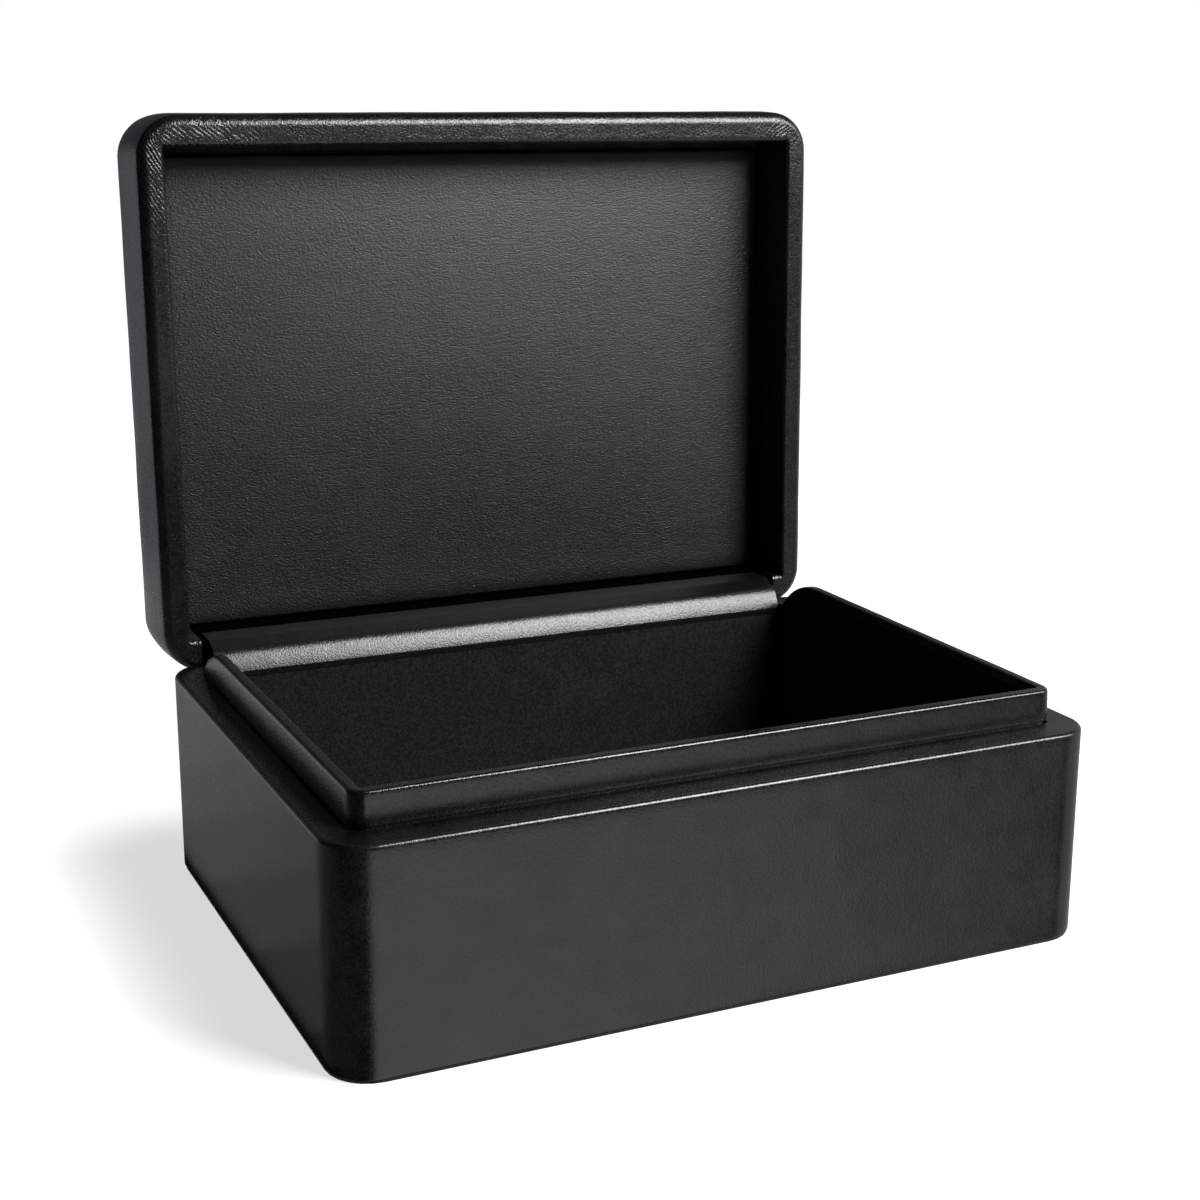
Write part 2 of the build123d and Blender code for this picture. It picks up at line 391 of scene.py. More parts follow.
def close_finish(graph, inputs):
    shader = graph.add("ShaderNodeBsdfPrincipled", {}, inputs)
    graph.add("ShaderNodeOutputMaterial", {}, {"Surface": shader})


def blend_colour(graph, factor, one, other):
    return graph.add("ShaderNodeMix", {"data_type": "RGBA"}, {0: factor, 6: one, 7: other}, 2)


def bump(graph, height, depth):
    return graph.add("ShaderNodeBump", {}, {"Height": height, "Distance": depth, "Strength": 1.0})


def grey(level, warmth=0.0):
    """A near grey; warmth above 0 is warmer, below 0 is cooler."""
    return (level * (1 + max(warmth, 0)), level, level * (1 - warmth), 1.0)


def leather_finish(name, dark, pale, roughness, grain, depth, mottle, warmth=0.0, stretch=1.0):
    """Black leather: fine grain, soft lumps a few grains wide, and patches of duller gloss.

    dark and pale are its tones, depth is the relief of the grain, mottle is the strength of the lumps
    and patches, and stretch draws all of them out along X.
    """
    lump_size = 4 * grain
    patch_size = 9 * mm
    broad_size = 35 * mm
    lump_relief = 3 * mottle
    patch_relief = 4 * mottle
    patch_gloss = 0.4 * mottle
    speck_gloss = 0.3
    material, graph, place = new_finish(name)
    place = place * (1 / stretch, 1, 1)
    speck = graph.noise(place, grain, detail=2.0, roughness=0.6)
    lump = graph.noise(place, lump_size)
    patch = graph.noise(place, patch_size, detail=4.0, roughness=0.6)
    broad = graph.noise(place, broad_size)
    height = speck + (lump - noise_mean) * lump_relief + (patch - noise_mean) * patch_relief
    tone = graph.ease(speck * 0.6 + patch * 0.6 + broad * 0.4, start=0.5, end=1.1)
    gloss = roughness + (patch - noise_mean) * patch_gloss + (speck - noise_mean) * speck_gloss
    close_finish(graph, {
        "Base Color": blend_colour(graph, tone, grey(dark, warmth), grey(pale, warmth)),
        "Roughness": gloss,
        "Normal": bump(graph, height, depth),
    })
    return material


def suede_finish(name, dark, pale, nap):
    """Short nap with small light and dark flecks, a little blue where it is light."""
    brush_size = 11 * mm
    brush_share = 0.12
    nap_depth = 0.2 * mm
    material, graph, place = new_finish(name)
    fleck = graph.noise(place, nap, detail=3.0, roughness=0.7)
    brushed = graph.noise(place, brush_size, detail=3.0)
    tone = graph.ease(fleck + brushed * brush_share, start=0.42, end=0.72)
    close_finish(graph, {
        "Base Color": blend_colour(graph, tone, grey(dark, -0.05), grey(pale, -0.12)),
        "Roughness": 0.9,
        "Normal": bump(graph, fleck, nap_depth),
        "Sheen Weight": 0.15,
        "Sheen Roughness": 0.5,
        "Specular IOR Level": 0.1,
    })
    return material


def core_finish(name, dark, pale, warmth, fleck_size, shine=0.1):
    """Pressed fibre, card or foam: flecks of two tones, dull."""
    cloud_size = 14 * fleck_size
    fleck_depth = 0.3 * fleck_size
    fleck_gloss = 0.2
    dull = 0.85
    material, graph, place = new_finish(name)
    fleck = graph.noise(place, fleck_size, detail=4.0, roughness=0.65)
    cloud = graph.noise(place, cloud_size)
    tone = graph.ease(fleck * 0.7 + cloud * 0.3, start=0.38, end=0.62)
    close_finish(graph, {
        "Base Color": blend_colour(graph, tone, grey(dark, warmth), grey(pale, warmth)),
        "Roughness": dull + (fleck - noise_mean) * fleck_gloss,
        "Normal": bump(graph, fleck, fleck_depth),
        "Specular IOR Level": shine,
    })
    return material


box_leather = leather_finish(
    "box_leather", dark=0.001, pale=0.008, roughness=0.25, grain=0.8 * mm, depth=0.055 * mm, mottle=0.08)
collar_leather = leather_finish(
    "collar_leather", dark=0.001, pale=0.006, roughness=0.23, grain=0.8 * mm, depth=0.06 * mm, mottle=0.08)
rim_leather = leather_finish(
    "rim_leather", dark=0.001, pale=0.006, roughness=0.27, grain=0.7 * mm, depth=0.14 * mm, mottle=0.2)
hinge_leather = leather_finish(
    "hinge_leather", dark=0.001, pale=0.004, roughness=0.32, grain=0.7 * mm, depth=0.11 * mm, mottle=0.05,
    warmth=0.06)
lining_leather = leather_finish(
    "lining_leather", dark=0.001, pale=0.005, roughness=0.43, grain=0.55 * mm, depth=0.24 * mm, mottle=0.06,
    stretch=1.7)
suede = suede_finish("suede", dark=0.0003, pale=0.011, nap=0.8 * mm)
felt = suede_finish("felt", dark=0.006, pale=0.016, nap=0.8 * mm)
fibreboard = core_finish("dyed_fibreboard", dark=0.004, pale=0.012, warmth=0.12, fleck_size=0.8 * mm)
# Near black and dull: painted shade for the slot between the hinge strip and the lid's lining, where the rear rail
# shows.
edge_paint = core_finish("edge_paint", dark=0.0006, pale=0.0016, warmth=0.0, fleck_size=0.8 * mm, shine=0.0)
card = core_finish("black_card", dark=0.005, pale=0.012, warmth=0.05, fleck_size=0.5 * mm)
foam = core_finish("grey_foam", dark=0.05, pale=0.09, warmth=0.0, fleck_size=0.7 * mm)


# Shapes that the skins share
def stretch_width(skin, side, front, rear):
    """Width of a ledge or rim where the path points inward along X, forward or back."""
    x, y, _ = skin.inward.xyz()
    facing_front = y > 0
    return side * x * x + (front * facing_front + rear * (1 - facing_front)) * y * y


def nested(skin, half_x, half_y, radius):
    """Points set in from a rounded outline; past the corner radius the rings are plain rectangles."""
    graph = skin.graph
    x, y, _ = (skin.spot + skin.inward * graph.least(skin.inset, radius)).xyz()
    reach_x = half_x - skin.inset
    reach_y = half_y - skin.inset
    past = skin.inset > radius
    held_x = graph.between(x, 0 - reach_x, reach_x)
    held_y = graph.between(y, 0 - reach_y, reach_y)
    return x + (held_x - x) * past, y + (held_y - y) * past


def swell(skin, size, depth):
    """A slow rise and fall of the leather over its board."""
    return (skin.graph.noise(skin.place, size, detail=1.0) - noise_mean) * depth


# Base: leather round the walls, over the ledge and under the foot
def make_base_leather():
    foot, top = wrap_low.z, ledge_top
    nominal_ledge = 10 * mm
    section = [(turn_under, foot + leather)]
    section += line((turn_under, foot), (wrap_foot_radius, foot), step=3 * mm)
    section += arc((wrap_foot_radius, foot + wrap_foot_radius), wrap_foot_radius, 270, 180, count=4)
    section += line((0, foot + wrap_foot_radius), (0, top - wrap_top_radius), step=3 * mm)
    section += arc((wrap_top_radius, top - wrap_top_radius), wrap_top_radius, 180, 90, count=6)
    section += line((wrap_top_radius, top), (nominal_ledge, top), step=1 * mm)
    section += line((nominal_ledge, top), (nominal_ledge, top - leather), step=leather)
    section += line((nominal_ledge, top - leather), (leather, top - leather), step=4 * mm)
    section += line((leather, top - leather), (leather, foot + leather), step=20 * mm)
    section += [(leather, foot + leather)]
    tuck = 1.0 * mm
    strip_gap = 0.4 * mm
    sizes = {
        "Side Ledge": half_width - collar_high.x + tuck,
        "Front Ledge": half_depth + collar_low.y + tuck,
        "Rear Corner Ledge": half_depth - collar_high.y + tuck,
        "Fold Setback": half_depth - hinge.y - fold_gap,
        "Hinge Half": strip_half + strip_gap,
    }

    def shape(skin):
        graph, size = skin.graph, skin.size
        x, _, _ = skin.spot.xyz()
        at_fold = abs(x) < size["Hinge Half"]
        rear = size["Rear Corner Ledge"] * (1 - at_fold) + size["Fold Setback"] * at_fold
        width = stretch_width(skin, size["Side Ledge"], size["Front Ledge"], rear)
        upper = skin.height > top - 2 * leather
        beyond = graph.most(skin.inset - wrap_top_radius, 0.0)
        scale = (width - wrap_top_radius) / (nominal_ledge - wrap_top_radius)
        inset = skin.inset + beyond * (scale - 1) * upper
        px, py, _ = (skin.spot + skin.inward * inset).xyz()
        hidden = (skin.inset > inner_face) * (skin.height < top - inner_face)
        rise = graph.most(py - hinge.y, 0.0)
        bevel = hinge.z - fold_gap - rise * bevel_slope - hidden * hidden_drop
        return graph.vector(px, py, graph.least(skin.height, bevel))

    def push(skin):
        return swell(skin, size=30 * mm, depth=0.15 * mm)

    path = rounded_outline(half_width, half_depth, corner_radius, corner_step=1.2 * mm, side_step=2.5 * mm)
    piece = swept_skin("base_leather", section, path, box_leather, shape, sizes, push=push)
    finished(piece, "base", "box_leather", "base_leather_wrap")


# Collar: leather over the three raised boards, with rounded rear ends
def make_collar_leather():
    wall = 4.4 * mm
    top_radius = 1.0 * mm
    corner = 5.5 * mm
    low, top = collar_low.z, collar_high.z
    turned = top - collar_turn_in
    lip = 0.35 * mm
    gap_depth = 0.85 * thin_leather
    gap_top = ledge_top + 0.9 * mm
    back = wall - thin_leather
    under = top - thin_leather
    section = line((gap_depth, low), (gap_depth, gap_top), step=5 * mm)
    section += line((gap_depth, gap_top), (lip, gap_top), step=0.5 * mm)
    section += arc((lip, gap_top + lip), lip, 270, 180, count=4)
    section += line((0, gap_top + lip), (0, top - top_radius), step=1.2 * mm)
    section += arc((top_radius, top - top_radius), top_radius, 180, 90, count=6)
    section += line((top_radius, top), (wall - top_radius, top), step=0.5 * mm)
    section += arc((wall - top_radius, top - top_radius), top_radius, 90, 0, count=6)
    section += line((wall, top - top_radius), (wall, turned), step=1.5 * mm)
    section += line((wall, turned), (back, turned), step=thin_leather)
    section += line((back, turned), (back, under), step=3 * mm)
    section += line((back, under), (thin_leather, under), step=1 * mm)
    section += line((thin_leather, under), (thin_leather, low), step=5 * mm)
    section += [(thin_leather, low)]

    out_x, front, rear = collar_high.x, collar_low.y, collar_high.y
    path = line((-out_x, rear), (-out_x, collar_end_start), step=0.5 * mm)
    path += line((-out_x, collar_end_start), (-out_x, front + corner), step=2.5 * mm)
    path += arc((-out_x + corner, front + corner), corner, 180, 270, count=10)
    path += line((-out_x + corner, front), (out_x - corner, front), step=2.5 * mm)
    path += arc((out_x - corner, front + corner), corner, 270, 360, count=10)
    path += line((out_x, front + corner), (out_x, collar_end_start), step=2.5 * mm)
    path += line((out_x, collar_end_start), (out_x, rear), step=0.5 * mm)
    path += [Vector((out_x, rear))]
    path = path[::-1]
    sizes = {"End Start": collar_end_start, "End Radius": collar_end_radius, "Lean": 0.6 * mm}
    edge_zone = 2.5 * mm

    def shape(skin):
        graph, size = skin.graph, skin.size
        rise = graph.between((skin.height - ledge_top) / (top - ledge_top), 0.0, 1.0)
        sideways, _, _ = skin.inward.xyz()
        lean = rise * rise * size["Lean"] * (skin.inset < 0.5 * wall) * sideways * sideways
        px, py, _ = (skin.spot + skin.inward * (skin.inset + lean)).xyz()
        radius = size["End Radius"]
        past = graph.between(py - size["End Start"], 0.0, radius)
        drop = radius - graph.maths("SQRT", graph.most(radius * radius - past * past, 0.0))
        share = graph.between((skin.height - low) / (top - edge_zone - low), 0.0, 1.0)
        return graph.vector(px, py, skin.height - drop * share)

    def push(skin):
        return swell(skin, size=18 * mm, depth=0.2 * mm)

    piece = swept_skin("collar_cover", section, path, collar_leather, shape, sizes,
                       closed_path=False, push=push)
    finished(piece, "base", "box_leather", "collar_leather")


# Lid: leather over the top, the sides and the padded rim, gathered at the corners
def make_lid_leather():
    rim, top = lid_low.z, lid_high.z
    nominal_rim = half_width - recess_half
    wall_top = side_rail_high.z
    crown = 1.2 * mm
    recess_middle = 0.5 * (recess_front + recess_rear)
    recess_reach = 0.5 * (recess_rear - recess_front)
    hidden_rim = rim + leather
    hidden_wall = nominal_rim - thin_leather
    rim_edge = nominal_rim - rim_inner_radius
    top_flat = 12 * mm
    section = [(half_depth, top)]
    section += line((half_depth - top_flat, top), (lid_top_radius, top), step=10 * mm)
    section += arc((lid_top_radius, top - lid_top_radius), lid_top_radius, 90, 180, count=8)
    section += line((0, top - lid_top_radius), (0, rim + rim_outer_radius), step=2.5 * mm)
    section += arc((rim_outer_radius, rim + rim_outer_radius), rim_outer_radius, 180, 270, count=10)
    rim_face = line((rim_outer_radius, rim), (rim_edge, rim), step=0.32 * mm)
    for index, point in enumerate(rim_face):
        point.y -= rim_crown * math.sin(math.pi * index / len(rim_face))
    section += rim_face
    section += arc((rim_edge, rim + rim_inner_radius), rim_inner_radius, 270, 360, count=8)
    section += line((nominal_rim, rim + rim_inner_radius), (nominal_rim, wall_top), step=3 * mm)
    section += line((nominal_rim, wall_top), (hidden_wall, wall_top), step=thin_leather)
    section += line((hidden_wall, wall_top), (hidden_wall, hidden_rim), step=8 * mm)
    section += line((hidden_wall, hidden_rim), (leather, hidden_rim), step=3 * mm)
    section += line((leather, hidden_rim), (leather, top - 2 * leather), step=12 * mm)
    section += [(leather, top - 2 * leather), (2 * leather, top - leather), (half_depth, top - leather)]

    # Each corner's way out in X and Y, how strong its pleats are and how far they reach along the rim
    corners = (
        ("Front Left Corner", -1, -1, 1.0, 44 * mm),
        ("Front Right Corner", 1, -1, 0.5, 16 * mm),
        ("Rear Right Corner", 1, 1, 0.4, 11 * mm),
        ("Rear Left Corner", -1, 1, 0.5, 11 * mm),
    )
    fine_reach = (5 * mm, 5 * mm, 32 * mm, 10 * mm)
    pleat_step = 0.22 * mm
    path = rounded_outline(half_width, half_depth, corner_radius, pleat_step, 2.5 * mm, fine_reach)
    lengths = [0.0]
    for here, there in zip(path, path[1:] + path[:1]):
        lengths.append(lengths[-1] + (there - here).length)
    middles = {}
    for label, sign_x, sign_y, _, _ in corners:
        ways_out = [point.x * sign_x / half_width + point.y * sign_y / half_depth for point in path]
        middles[label] = lengths[ways_out.index(max(ways_out))]
    sizes = {
        "Side Recess": recess_half,
        "Front Recess": recess_front,
        "Rear Recess": recess_rear,
        "Fold Line": hinge.y + fold_gap,
        "Stub Half": rim_stub_half,
        "Crown": crown,
        "Side Bulge": 0.8 * mm,
        "Pleat": 2.2 * mm,
        "Pleat Lean": 1.5,
        "Pleat Depth": 0.27 * mm,
        **middles,
    }
    # Limits in height and inset that tell the skin's faces apart, each a little past its points
    rim_zone = wall_top + 0.5 * mm
    top_zone = top - 1.1 * leather
    hidden_inset = 1.001 * hidden_wall
    hidden_level = 0.9999 * hidden_rim
    outer_face = 0.5 * leather

    def shape(skin):
        graph, size = skin.graph, skin.size
        x, y, _ = skin.spot.xyz()
        at_fold = abs(x) < size["Stub Half"]
        rear = size["Rear Recess"] * (1 - at_fold) + size["Fold Line"] * at_fold
        goal_x = graph.between(x, 0 - size["Side Recess"], size["Side Recess"])
        goal_y = graph.between(y, size["Front Recess"], rear)
        share = skin.inset / nominal_rim
        near_x = x + (goal_x - x) * share
        near_y = y + (goal_y - y) * share
        lower = skin.height < rim_zone
        far_x, far_y = nested(skin, half_width, half_depth, corner_radius)
        px = far_x + (near_x - far_x) * lower
        py = far_y + (near_y - far_y) * lower
        arch = (1 - (px / half_width) ** 2.0) * (1 - (py / half_depth) ** 2.0)
        on_top = skin.height > top_zone
        rise = graph.most(py - hinge.y, 0.0)
        behind_rim = (skin.inset > inner_face) * (skin.inset < hidden_inset)
        hidden = behind_rim * (skin.height > hidden_level)
        bevel = hinge.z + fold_gap + rise * bevel_slope + hidden * hidden_drop * lower
        return graph.vector(px, py, graph.most(skin.height + arch * size["Crown"] * on_top, bevel))

    fade_start = rim + 1.0 * mm
    fade_end = rim + 2.6 * mm
    fan_squeeze = 0.9
    full_share = 0.3
    wander_size = 6 * mm
    wander_reach = 3 * mm
    uneven_size = 7 * mm
    uneven_range = 1.5
    uneven_least = 0.2
    wrinkle_size = 3 * mm
    wrinkle_depth = 0.16 * mm

    def push(skin):
        graph, size = skin.graph, skin.size
        level = (skin.height - rim) / (top - rim)
        bulge = level * (1 - level) * (4 * size["Side Bulge"]) * (skin.inset < outer_face)
        soft = swell(skin, size=26 * mm, depth=0.4 * mm) + bulge
        on_rim = graph.ease(0 - skin.height, -fade_end, -fade_start) * (skin.inset > 0.0)
        x, y, _ = skin.spot.xyz()
        in_fan = (abs(x) > size["Side Recess"]) * (abs(y - recess_middle) > recess_reach)
        squeeze = 1 - in_fan * graph.between(skin.inset / nominal_rim, 0.0, 1.0) * fan_squeeze
        drift = graph.noise(skin.place, wander_size, detail=3.0, roughness=0.6)
        wander = (drift - noise_mean) * wander_reach
        folds = 0.0
        for label, _, _, strength, reach in corners:
            away = abs(skin.run - size[label])
            mask = (1 - graph.ease(away, full_share * reach, reach)) * strength
            phase = (away - skin.inset * size["Pleat Lean"] + wander) / size["Pleat"] * math.pi
            folds = folds + (abs(graph.maths("SINE", phase)) - 1) * mask
        patchy = graph.noise(skin.place, uneven_size, detail=1.0)
        uneven = graph.ease(patchy, start=0.25, end=0.75) * uneven_range + uneven_least
        wrinkle = (graph.noise(skin.place, wrinkle_size) - noise_mean) * wrinkle_depth
        return -1.0 * (soft + on_rim * squeeze * (folds * uneven * size["Pleat Depth"] + wrinkle))

    piece = swept_skin("lid_cover", section, path, rim_leather, shape, sizes,
                       closed_section=False, push=push)
    piece.data.transform(swing_open)
    finished(piece, "lid", "box_leather", "lid_leather_cover", "lid_rim_padding", "lid_top_padding")


# Flat pieces with rounded edges and a slight crown: linings, pad and felt
def soft_panel(name, size, finish, place, edge_radius, corner, crown=0.0, pillow=0.0):
    """A panel with its back on z = 0 and its face at size[2]; place puts it where it belongs."""
    step = 3 * mm
    half_x, half_y, thick = size[0] / 2, size[1] / 2, size[2]
    reach = min(half_x, half_y)
    back_edge = 0.5 * corner
    face_zone = thick - 1.01 * edge_radius
    section = [(reach, 0), (reach / 2, 0)]
    section += line((back_edge, 0), (0, 0), corner)
    section += line((0, 0), (0, thick - edge_radius), step)
    section += arc((edge_radius, thick - edge_radius), edge_radius, 180, 90, count=6)
    section += line((edge_radius, thick), (reach, thick), step)
    section += [(reach, thick)]
    edge_fall = 4 * mm
    sizes = {
        "Half Width": half_x,
        "Half Height": half_y,
        "Crown": crown,
        "Pillow": pillow,
        "Edge Fall": edge_fall,
    }

    def shape(skin):
        graph, given = skin.graph, skin.size
        px, py = nested(skin, given["Half Width"], given["Half Height"], corner)
        on_face = skin.height > face_zone
        rise = graph.ease(skin.inset, 0.0, given["Edge Fall"]) * given["Crown"]
        arch = (1 - (px / half_x) ** 2.0) * (1 - (py / half_y) ** 2.0) * given["Pillow"]
        return graph.vector(px, py, skin.height + (rise + arch) * on_face)

    path = rounded_outline(half_x, half_y, corner, corner / 4, step)
    piece = swept_skin(name, section, path, finish, shape, sizes, closed_section=False)
    piece.data.transform(place)
    return piece


def facing(centre, across, up):
    """A frame at centre whose X runs across and Y up, so that Z is the way the panel faces."""
    across, up = Vector(across), Vector(up)
    turn = Matrix((across, up, across.cross(up))).transposed().to_4x4()
    return Matrix.Translation(centre) @ turn


def lower_rear_end(piece):
    """Lets the top of a side lining follow the arc at the collar's rear end."""
    low = collar_low.z
    for vertex in piece.data.vertices:
        past = max(vertex.co.y - collar_end_start, 0.0)
        drop = collar_end_radius - math.sqrt(collar_end_radius ** 2 - past ** 2)
        share = max(vertex.co.z - low, 0.0) / (collar_high.z - low)
        vertex.co.z -= drop * share


def make_linings():
    walls = (
        ("front", (1, 0, 0), (0, 0, -1), "y", 0),
        ("rear", (1, 0, 0), (0, 0, 1), "y", 1),
        ("left", (0, 1, 0), (0, 0, 1), "x", 0),
        ("right", (0, -1, 0), (0, 0, 1), "x", 1),
    )
    for label, across, up, axis, side in walls:
        node = "lining_" + label
        low, high = rest_box(node)
        if label != "rear":
            high.z = collar_high.z - collar_turn_in
        span = high - low
        centre = (low + high) / 2
        back = (low, high)[side]
        setattr(centre, axis, getattr(back, axis))
        length = span.x if axis == "y" else span.y
        thick = getattr(span, axis)
        size = (length, span.z, thick)
        place = facing(centre, across, up)
        piece = soft_panel("suede_" + label, size, suede, place, edge_radius=0.4 * mm, corner=0.6 * mm)
        if axis == "x":
            lower_rear_end(piece)
        finished(piece, "base", "suede", node)


def make_floor_pad():
    low, _ = rest_box("floor_pad_foam")
    _, high = rest_box("floor_pad_cover")
    span = high - low
    edge_sink = 0.4 * mm
    size = (span.x, span.y, span.z - edge_sink)
    centre = Vector(((low.x + high.x) / 2, (low.y + high.y) / 2, low.z))
    place = facing(centre, (1, 0, 0), (0, 1, 0))
    piece = soft_panel("floor_pad", size, suede, place, edge_radius=1.6 * mm, corner=3 * mm, crown=0.8 * mm)
    finished(piece, "base", "suede", "floor_pad_cover", "floor_pad_foam")


def make_felt():
    low, high = rest_box("base_bottom_pad")
    corner = corner_radius - (half_width - high.x)
    place = facing((0, 0, high.z), (1, 0, 0), (0, -1, 0))
    piece = soft_panel("bottom_felt", high - low, felt, place, edge_radius=0.3 * mm, corner=corner)
    finished(piece, "base", "felt", "base_bottom_pad")


def make_lid_lining():
    rear_gap = 0.1 * mm
    low, high = lining_low.copy(), lining_high.copy()
    high.y = recess_rear - rear_gap
    centre = Vector(((low.x + high.x) / 2, (low.y + high.y) / 2, high.z))
    place = facing(centre, (1, 0, 0), (0, -1, 0))
    piece = soft_panel("lid_lining", high - low, lining_leather, place, edge_radius=1.2 * mm, corner=2 * mm,
                       crown=0.3 * mm, pillow=2.3 * mm)
    piece.data.transform(swing_open)
    finished(piece, "lid", "lining_leather", "lid_lining_leather")


# Hinge: one strip of leather from the lid's rear wall, over both edges and down the inner wall of the base
def make_hinge_strip():
    thick = 0.8 * mm
    shelf_lift = 0.3 * mm
    face_gap = 0.2 * mm
    wall_gap = 0.1 * mm
    leaf_length = 12 * mm
    end_radius = 0.9 * mm
    roll_setback = 1.7 * mm
    drape_length = 4.8 * mm
    # Radii of the roll at the lid's edge, the bend below it and the edge of the base's wall
    roll = 3 * mm
    bend = 6 * mm
    edge = 0.7 * mm
    # Slopes of the leather on its way down, in degrees
    drape = 25
    fall = 57
    fall_end = 69
    shelf = (swing_open @ Vector((0, strip_low.y, lid_high.z))).z + shelf_lift
    face = hinge.y + face_gap
    leaf_end = face + leaf_length
    wall = strip_low.y - wall_gap
    roll_centre = Vector((face + roll_setback, shelf - roll))
    drape_start = roll_centre + roll * heading(90 + drape)
    drape_end = drape_start - drape_length * heading(drape)
    bend_centre = drape_end - bend * heading(90 + drape)
    fall_start = bend_centre + bend * heading(90 + fall)
    edge_reach = wall + edge * (1 + heading(90 + fall_end).x)
    fall_radius = (fall_start.x - edge_reach) / (heading(90 + fall).x - heading(90 + fall_end).x)
    fall_centre = fall_start - fall_radius * heading(90 + fall)
    edge_start = fall_centre + fall_radius * heading(90 + fall_end)
    edge_centre = edge_start - edge * heading(90 + fall_end)
    outer = arc((leaf_end - end_radius, shelf - end_radius), end_radius, 0, 90, count=5)
    outer += line((leaf_end - end_radius, shelf), (roll_centre.x, shelf), step=1.5 * mm)
    outer += arc(roll_centre, roll, 90, 90 + drape, count=5)
    outer += line(drape_start, drape_end, step=0.6 * mm)
    outer += arc(bend_centre, bend, 90 + drape, 90 + fall, count=6)
    outer += arc(fall_centre, fall_radius, 90 + fall, 90 + fall_end, count=10)
    outer += arc(edge_centre, edge, 90 + fall_end, 180, count=4)
    outer += line((wall, edge_centre.y), (wall, strip_low.z), step=1.5 * mm)
    outer += [Vector((wall, strip_low.z))]
    inner = []
    for index, point in enumerate(outer):
        ahead = outer[min(index + 1, len(outer) - 1)]
        behind = outer[max(index - 1, 0)]
        along = (ahead - behind).normalized()
        inner.append(point + Vector((-along.y, along.x)) * thick)
    section = [Vector((-p.x, p.y)) for p in outer + inner[::-1]]
    path = line((-strip_half, 0), (strip_half, 0), step=2 * mm) + [Vector((strip_half, 0))]
    sizes = {"Swell Depth": 0.25 * mm}

    def shape(skin):
        px, py, _ = (skin.spot + skin.inward * skin.inset).xyz()
        return skin.graph.vector(px, py, skin.height)

    def push(skin):
        return swell(skin, size=12 * mm, depth=skin.size["Swell Depth"])

    piece = swept_skin("hinge_strip", section, path, hinge_leather, shape, sizes,
                       closed_path=False, push=push)
    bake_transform(piece)
    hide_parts("hinge_leather_lower", "hinge_leather_upper")


def finish_cores():
    """Boards and cards keep their solids and get their own finish; the lid's rear rail is painted near black, a
    painted shade for the dark slot beside the hinge strip.
    """
    finishes = {"fibreboard": fibreboard, "card": card, "foam": foam}
    for subpart in frame["record"]["subparts"]:
        finish = finishes.get(subpart["material_slot"])
        if finish:
            holder = frame["nodes"][subpart["node"]].data
            holder.materials.clear()
            holder.materials.append(finish)
    # The rear rail shows in the slot beside the hinge strip; its near-black finish paints the shade there.
    rear_rail = frame["nodes"]["lid_rear_rail"].data
    rear_rail.materials[0] = edge_paint


# Studio: a floor that glows with painted light, soft light from above and the right, and the photograph's camera
def make_camera():
    place = Vector((-0.2707, -0.5731, 0.2693))
    turn = math.radians(-24.94)
    tilt = math.radians(14.63)
    roll = math.radians(0.23)
    lens = 59.65
    sensor = 36
    back = Vector((math.sin(turn) * math.cos(tilt), -math.cos(turn) * math.cos(tilt), math.sin(tilt)))
    right = Vector((math.cos(turn), math.sin(turn), 0))
    up = back.cross(right)
    rolled_right = right * math.cos(roll) + up * math.sin(roll)
    rolled_up = up * math.cos(roll) - right * math.sin(roll)
    camera = bpy.data.objects.new("camera", bpy.data.cameras.new("camera"))
    camera.data.lens = lens
    camera.data.sensor_width = sensor
    camera.data.clip_start = 10 * mm
    pose = Matrix((rolled_right, rolled_up, back)).transposed().to_4x4()
    camera.matrix_world = Matrix.Translation(place) @ pose
    scene.collection.objects.link(camera)
    scene.camera = camera


def soft_box(name, place, target, size, brightness, mirrored_only=False):
    """A rectangular lamp that glows evenly; size is (across, up and down).

    With mirrored_only it shows in glossy surfaces alone: it lights nothing dull and casts no shadow.
    """
    place, target = Vector(place), Vector(target)
    light = bpy.data.lights.new(name, "AREA")
    light.shape = "RECTANGLE"
    light.size, light.size_y = size
    light.energy = brightness * math.pi * size[0] * size[1]
    holder = bpy.data.objects.new(name, light)
    turn = (target - place).to_track_quat("-Z", "Y").to_matrix().to_4x4()
    holder.matrix_world = Matrix.Translation(place) @ turn
    holder.visible_diffuse = not mirrored_only
    holder.visible_camera = False
    light.cycles.cast_shadow = not mirrored_only
    scene.collection.objects.link(holder)


def make_floor():
    """A grey table top that glows: painted light, weaker close to the box and full away from it, so only the
    shadow close to the box shows.
    """
    reach = 12.0
    shadow_start = 12 * mm
    shadow_end = 60 * mm
    table_tone = grey(0.42)
    near_glow = grey(0.67)
    far_glow = grey(1.0)
    corners = [(-reach, -reach, 0), (reach, -reach, 0), (reach, reach, 0), (-reach, reach, 0)]
    floor = bpy.data.objects.new("floor", bpy.data.meshes.new("floor"))
    floor.data.from_pydata(corners, [], [(0, 1, 2, 3)])
    material, graph, place = new_finish("pale_floor")
    x, y, _ = place.xyz()
    past_x = graph.most(abs(x) - half_width, 0.0)
    past_y = graph.most(abs(y) - half_depth, 0.0)
    far = graph.ease(graph.maths("SQRT", past_x * past_x + past_y * past_y), shadow_start, shadow_end)
    close_finish(graph, {
        "Base Color": table_tone,
        "Roughness": 1.0,
        "Specular IOR Level": 0.0,
        # The glow is painted light on the floor, weaker near the box so its shadow shows only there.
        "Emission Color": blend_colour(graph, far, near_glow, far_glow),
        "Emission Strength": 1.0,
    })
    floor.data.materials.append(material)
    floor.visible_glossy = False
    scene.collection.objects.link(floor)


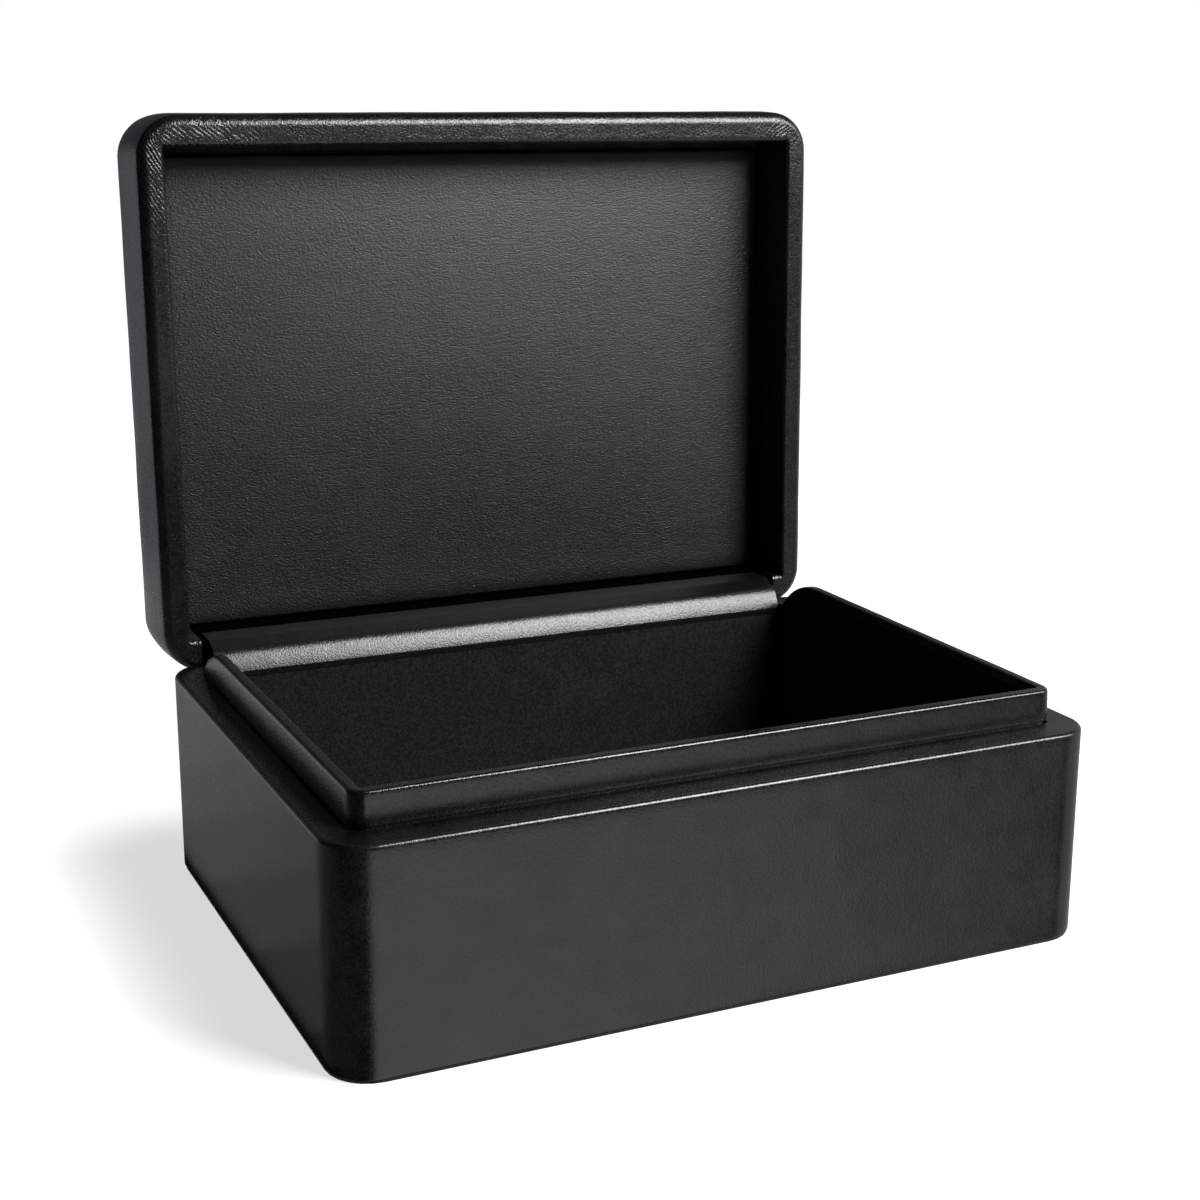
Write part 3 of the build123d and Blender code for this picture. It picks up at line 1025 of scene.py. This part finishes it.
def make_world():
    """Soft panels far away, placed by bearing (0 in front, above 0 to the right) and height in degrees."""
    world = bpy.data.worlds.new("studio")
    world.use_nodes = True
    world.node_tree.nodes.clear()
    graph = Graph(world.node_tree)
    x, y, z = graph.add("ShaderNodeTexCoord", output="Generated").xyz()
    bearing = graph.maths("ARCTAN2", x, 0 - y) * math.degrees(1)
    height = graph.maths("ARCSINE", z) * math.degrees(1)
    below = (-92, -91)
    above = (91, 92)
    behind = (181, 182)
    # Each panel: its angle round the box, where it fades in and out, the same for its height, its shade
    panels = (
        (bearing, (-17, 0), (30, 40), below, (-16, -12), grey(1.22, -0.03)),
        (bearing, (-17, 0), (65, 80), below, (-16, -12), grey(0.14, -0.03)),
        (bearing, (6, 16), (68, 80), (-6, 0), (30, 50), grey(0.15)),
        (bearing, (50, 66), (136, 148), below, (20, 40), grey(0.4, -0.03)),
        (bearing, (118, 136), behind, below, (-9, -3), grey(0.6, -0.03)),
        (abs(bearing), (132, 148), behind, (-16, -12), above, grey(0.08, -0.1)),
        (abs(bearing), (132, 148), (160, 178), (-16, -12), (2, 8), grey(0.3, -0.1)),
    )
    dim_room = (0.006, 0.006, 0.0065)
    light = graph.vector(*dim_room)
    for angle, rise, fall, lower, upper, shade in panels:
        sideways = graph.ease(angle, *rise) * (1 - graph.ease(angle, *fall))
        upright = graph.ease(height, *lower) * (1 - graph.ease(height, *upper))
        light = light + graph.vector(*shade[:3]) * (sideways * upright)
    seen = graph.add("ShaderNodeLightPath", output="Is Camera Ray")
    shade = blend_colour(graph, seen, light, grey(1.0))
    background = graph.add("ShaderNodeBackground", {}, {"Color": shade, "Strength": 1.0})
    graph.add("ShaderNodeOutputWorld", {}, {"Surface": background})
    scene.world = world
    scene.view_settings.view_transform = "Standard"


def make_left_cards():
    """Pale cards on the floor at the left, one on the other, so that the side wall is paler to the rear."""
    middle_x = -0.265
    width = 0.27
    rear = 0.52
    fronts = (-0.12, -0.06, 0.0, 0.06, 0.12, 0.18)
    lowest = 1 * mm
    step_up = 0.5 * mm
    for index, front in enumerate(fronts):
        length = rear - front
        centre = Vector((middle_x, front + length / 2, lowest + index * step_up))
        above = centre + Vector((0, 0, 1))
        soft_box("left_card", centre, above, (width, length), brightness=0.052, mirrored_only=True)


def make_studio():
    make_floor()
    make_world()
    soft_box("main", (0.5, -0.7, 0.84), target=(0, 0.11, 0.17), size=(0.5, 0.55), brightness=26)
    soft_box("side", (0.95, -0.55, 0.62), target=(0, 0.05, 0.1), size=(0.4, 0.4), brightness=8)
    make_left_cards()


make_base_leather()
make_collar_leather()
make_lid_leather()
make_linings()
make_floor_pad()
make_felt()
make_lid_lining()
make_hinge_strip()
finish_cores()
make_camera()
make_studio()
